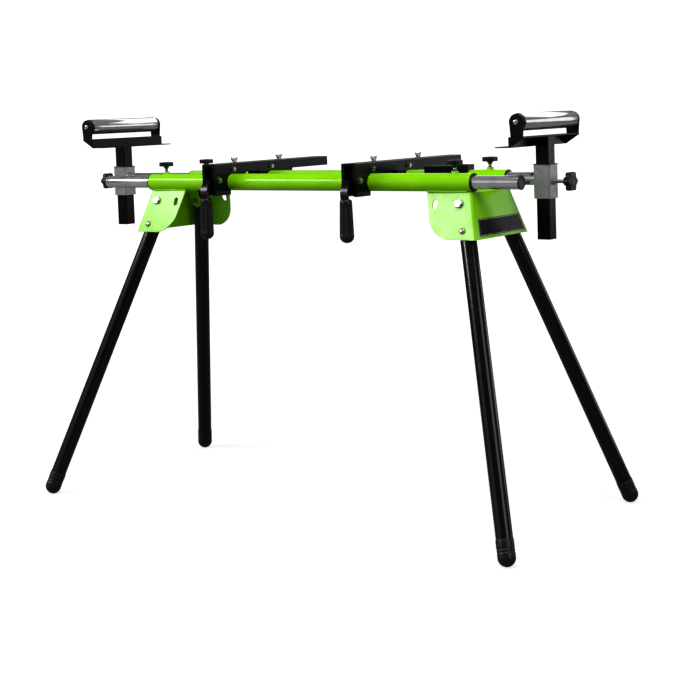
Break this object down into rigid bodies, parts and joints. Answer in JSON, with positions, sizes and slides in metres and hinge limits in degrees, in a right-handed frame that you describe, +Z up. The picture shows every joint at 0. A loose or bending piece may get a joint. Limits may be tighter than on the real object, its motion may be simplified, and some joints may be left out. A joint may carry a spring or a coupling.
{
  "type": "mitre saw stand",
  "caption": "Folding stand for a mitre saw, with sliding work supports, roller heads and clamp-on tool arms on two main tubes.",
  "frame": {"origin": "on the floor, below the middle of the whole stand as stored", "axes": "+X along the main tubes to the right seen from the front, +Y to the back, +Z up"},
  "size_m": [1.352, 0.587, 0.8702],
  "materials": {
    "green_paint": "gloss lime green paint",
    "gloss_black_paint": "gloss black paint",
    "black_powder_coat": "fine satin powder coat",
    "chrome_tube": "polished chrome plate",
    "zinc_sleeve": "dull zinc plate",
    "zinc_fasteners": "bright zinc plate",
    "dark_steel": "dark phosphated steel",
    "black_plastic": "moulded, fine grain",
    "black_rubber": "satin moulded rubber",
    "label": "plain satin label plate"
  },
  "bodies": {
    "frame": {"tube_front": "green_paint", "tube_rear": "green_paint", "tube_bushes": "black_plastic", "leg_pivot_bolts": "zinc_fasteners", "label_plate": "label", "tube_block": "black_powder_coat", "housing_right": "green_paint", "housing_left": "green_paint"},
    "leg_front_right": {"leg_front_right": "gloss_black_paint", "foot_cap_front_right": "black_rubber"},
    "lock_button_front_right": {"lock_button_front_right": "zinc_fasteners"},
    "tube_knob_front_right": {"tube_knob_front_right": "black_plastic"},
    "leg_rear_right": {"leg_rear_right": "gloss_black_paint", "foot_cap_rear_right": "black_rubber"},
    "lock_button_rear_right": {"lock_button_rear_right": "zinc_fasteners"},
    "tube_knob_rear_right": {"tube_knob_rear_right": "black_plastic"},
    "leg_front_left": {"leg_front_left": "gloss_black_paint", "foot_cap_front_left": "black_rubber"},
    "lock_button_front_left": {"lock_button_front_left": "zinc_fasteners"},
    "tube_knob_front_left": {"tube_knob_front_left": "black_plastic"},
    "leg_rear_left": {"leg_rear_left": "gloss_black_paint", "foot_cap_rear_left": "black_rubber"},
    "lock_button_rear_left": {"lock_button_rear_left": "zinc_fasteners"},
    "tube_knob_rear_left": {"tube_knob_rear_left": "black_plastic"},
    "extension_front_right": {"extension_front_right": "chrome_tube", "extension_cap_right": "black_plastic"},
    "extension_rear_right": {"extension_rear_right": "chrome_tube", "sleeve_right": "zinc_sleeve", "liner_right": "black_plastic"},
    "head_right": {"post_right": "black_powder_coat", "head_base_right": "black_powder_coat", "roller_axle_right": "zinc_fasteners"},
    "roller_right": {"roller_tube_right": "chrome_tube", "roller_ends_right": "black_plastic"},
    "sleeve_knob_right": {"sleeve_knob_right": "black_plastic"},
    "extension_front_left": {"extension_front_left": "chrome_tube", "extension_cap_left": "black_plastic"},
    "extension_rear_left": {"extension_rear_left": "chrome_tube", "sleeve_left": "zinc_sleeve", "liner_left": "black_plastic"},
    "head_left": {"post_left": "black_powder_coat", "head_base_left": "black_powder_coat", "roller_axle_left": "zinc_fasteners"},
    "roller_left": {"roller_tube_left": "chrome_tube", "roller_ends_left": "black_plastic"},
    "sleeve_knob_left": {"sleeve_knob_left": "black_plastic"},
    "arm_right": {"arm_right": "black_powder_coat", "arm_bolts_right": "zinc_fasteners"},
    "lever_right": {"lever_right": "dark_steel", "grip_right": "black_rubber"},
    "jaw_right": {"jaw_right": "dark_steel"},
    "saw_bolt_front_right": {"saw_bolt_front_right": "zinc_fasteners"},
    "saw_bolt_rear_right": {"saw_bolt_rear_right": "zinc_fasteners"},
    "arm_left": {"arm_left": "black_powder_coat", "arm_bolts_left": "zinc_fasteners"},
    "lever_left": {"lever_left": "dark_steel", "grip_left": "black_rubber"},
    "jaw_left": {"jaw_left": "dark_steel"},
    "saw_bolt_front_left": {"saw_bolt_front_left": "zinc_fasteners"},
    "saw_bolt_rear_left": {"saw_bolt_rear_left": "zinc_fasteners"}
  },
  "joints": [
    {"name": "leg_fold_front_right", "type": "hinge", "parent": "frame", "child": "leg_front_right", "pos_m": [0.462, -0.0697, 0.671], "axis": [0.0434, 0.9565, -0.2884], "range_deg": [0, 106.74]},
    {"name": "lock_press_front_right", "type": "slide", "parent": "frame", "child": "lock_button_front_right", "axis": [0.0434, 0.9565, -0.2884], "range_m": [0, 0.0045], "stiffness_N_per_m": 500},
    {"name": "tube_knob_turn_front_right", "type": "hinge", "parent": "frame", "child": "tube_knob_front_right", "pos_m": [0.444, -0.0735, 0.76], "axis": [0, 0, 1], "range_deg": [0, 360]},
    {"name": "leg_fold_rear_right", "type": "hinge", "parent": "frame", "child": "leg_rear_right", "pos_m": [0.462, 0.0667, 0.671], "axis": [0.0431, 0.9491, 0.3121], "range_deg": [0, 105.18]},
    {"name": "lock_press_rear_right", "type": "slide", "parent": "frame", "child": "lock_button_rear_right", "axis": [-0.0431, -0.9491, -0.3121], "range_m": [0, 0.0045], "stiffness_N_per_m": 500},
    {"name": "tube_knob_turn_rear_right", "type": "hinge", "parent": "frame", "child": "tube_knob_rear_right", "pos_m": [0.444, 0.0705, 0.76], "axis": [0, 0, 1], "range_deg": [0, 360]},
    {"name": "leg_fold_front_left", "type": "hinge", "parent": "frame", "child": "leg_front_left", "pos_m": [-0.36, -0.0697, 0.671], "axis": [-0.0431, -0.9491, 0.3121], "range_deg": [0, 105.18]},
    {"name": "lock_press_front_left", "type": "slide", "parent": "frame", "child": "lock_button_front_left", "axis": [0.0431, 0.9491, -0.3121], "range_m": [0, 0.0045], "stiffness_N_per_m": 500},
    {"name": "tube_knob_turn_front_left", "type": "hinge", "parent": "frame", "child": "tube_knob_front_left", "pos_m": [-0.342, -0.0735, 0.76], "axis": [0, 0, 1], "range_deg": [0, 360]},
    {"name": "leg_fold_rear_left", "type": "hinge", "parent": "frame", "child": "leg_rear_left", "pos_m": [-0.36, 0.0667, 0.671], "axis": [-0.0434, -0.9565, -0.2884], "range_deg": [0, 106.74]},
    {"name": "lock_press_rear_left", "type": "slide", "parent": "frame", "child": "lock_button_rear_left", "axis": [-0.0434, -0.9565, -0.2884], "range_m": [0, 0.0045], "stiffness_N_per_m": 500},
    {"name": "tube_knob_turn_rear_left", "type": "hinge", "parent": "frame", "child": "tube_knob_rear_left", "pos_m": [-0.342, 0.0705, 0.76], "axis": [0, 0, 1], "range_deg": [0, 360]},
    {"name": "extension_slide_front_right", "type": "slide", "parent": "frame", "child": "extension_front_right", "axis": [1, 0, 0], "range_m": [-0.105, 0.17]},
    {"name": "extension_slide_rear_right", "type": "slide", "parent": "frame", "child": "extension_rear_right", "axis": [1, 0, 0], "range_m": [-0.04, 0.2]},
    {"name": "post_lift_right", "type": "slide", "parent": "extension_rear_right", "child": "head_right", "axis": [0, 0, 1], "range_m": [-0.028, 0.08]},
    {"name": "roller_spin_right", "type": "hinge", "parent": "head_right", "child": "roller_right", "pos_m": [0.578, 0.0705, 0.84], "axis": [0, 1, 0], "continuous": true},
    {"name": "sleeve_knob_turn_right", "type": "hinge", "parent": "extension_rear_right", "child": "sleeve_knob_right", "pos_m": [0.616, 0.0705, 0.714], "axis": [1, 0, 0], "range_deg": [0, 360]},
    {"name": "extension_slide_front_left", "type": "slide", "parent": "frame", "child": "extension_front_left", "axis": [-1, 0, 0], "range_m": [-0.138, 0.14]},
    {"name": "extension_slide_rear_left", "type": "slide", "parent": "frame", "child": "extension_rear_left", "axis": [-1, 0, 0], "range_m": [-0.17, 0.1]},
    {"name": "post_lift_left", "type": "slide", "parent": "extension_rear_left", "child": "head_left", "axis": [0, 0, 1], "range_m": [-0.04, 0.07]},
    {"name": "roller_spin_left", "type": "hinge", "parent": "head_left", "child": "roller_left", "pos_m": [-0.613, 0.0705, 0.852], "axis": [0, 1, 0], "continuous": true},
    {"name": "sleeve_knob_turn_left", "type": "hinge", "parent": "extension_rear_left", "child": "sleeve_knob_left", "pos_m": [-0.651, 0.0705, 0.714], "axis": [-1, 0, 0], "range_deg": [0, 360]},
    {"name": "arm_slide_right", "type": "slide", "parent": "frame", "child": "arm_right", "axis": [1, 0, 0], "range_m": [-0.2, 0.038]},
    {"name": "lever_open_right", "type": "hinge", "parent": "arm_right", "child": "lever_right", "pos_m": [0.221, -0.1221, 0.7266], "axis": [-1, 0, 0], "range_deg": [0, 55]},
    {"name": "jaw_release_right", "type": "slide", "parent": "arm_right", "child": "jaw_right", "axis": [0, 1, 0], "range_m": [-0.0027, 0]},
    {"name": "saw_bolt_slide_front_right", "type": "slide", "parent": "arm_right", "child": "saw_bolt_front_right", "axis": [0, 1, 0], "range_m": [-0.0085, 0.0845]},
    {"name": "saw_bolt_slide_rear_right", "type": "slide", "parent": "arm_right", "child": "saw_bolt_rear_right", "axis": [0, 1, 0], "range_m": [-0.0355, 0.0575]},
    {"name": "arm_slide_left", "type": "slide", "parent": "frame", "child": "arm_left", "axis": [1, 0, 0], "range_m": [-0.08, 0.2]},
    {"name": "lever_open_left", "type": "hinge", "parent": "arm_left", "child": "lever_left", "pos_m": [-0.1615, -0.1221, 0.7266], "axis": [-1, 0, 0], "range_deg": [0, 55]},
    {"name": "jaw_release_left", "type": "slide", "parent": "arm_left", "child": "jaw_left", "axis": [0, 1, 0], "range_m": [-0.0027, 0]},
    {"name": "saw_bolt_slide_front_left", "type": "slide", "parent": "arm_left", "child": "saw_bolt_front_left", "axis": [0, 1, 0], "range_m": [-0.0045, 0.0885]},
    {"name": "saw_bolt_slide_rear_left", "type": "slide", "parent": "arm_left", "child": "saw_bolt_rear_left", "axis": [0, 1, 0], "range_m": [-0.0215, 0.0715]}
  ],
  "couplings": [
    {"joint": "jaw_release_right", "follows": "lever_open_right", "m_per_rad": -0.0027},
    {"joint": "jaw_release_left", "follows": "lever_open_left", "m_per_rad": -0.0027}
  ]
}
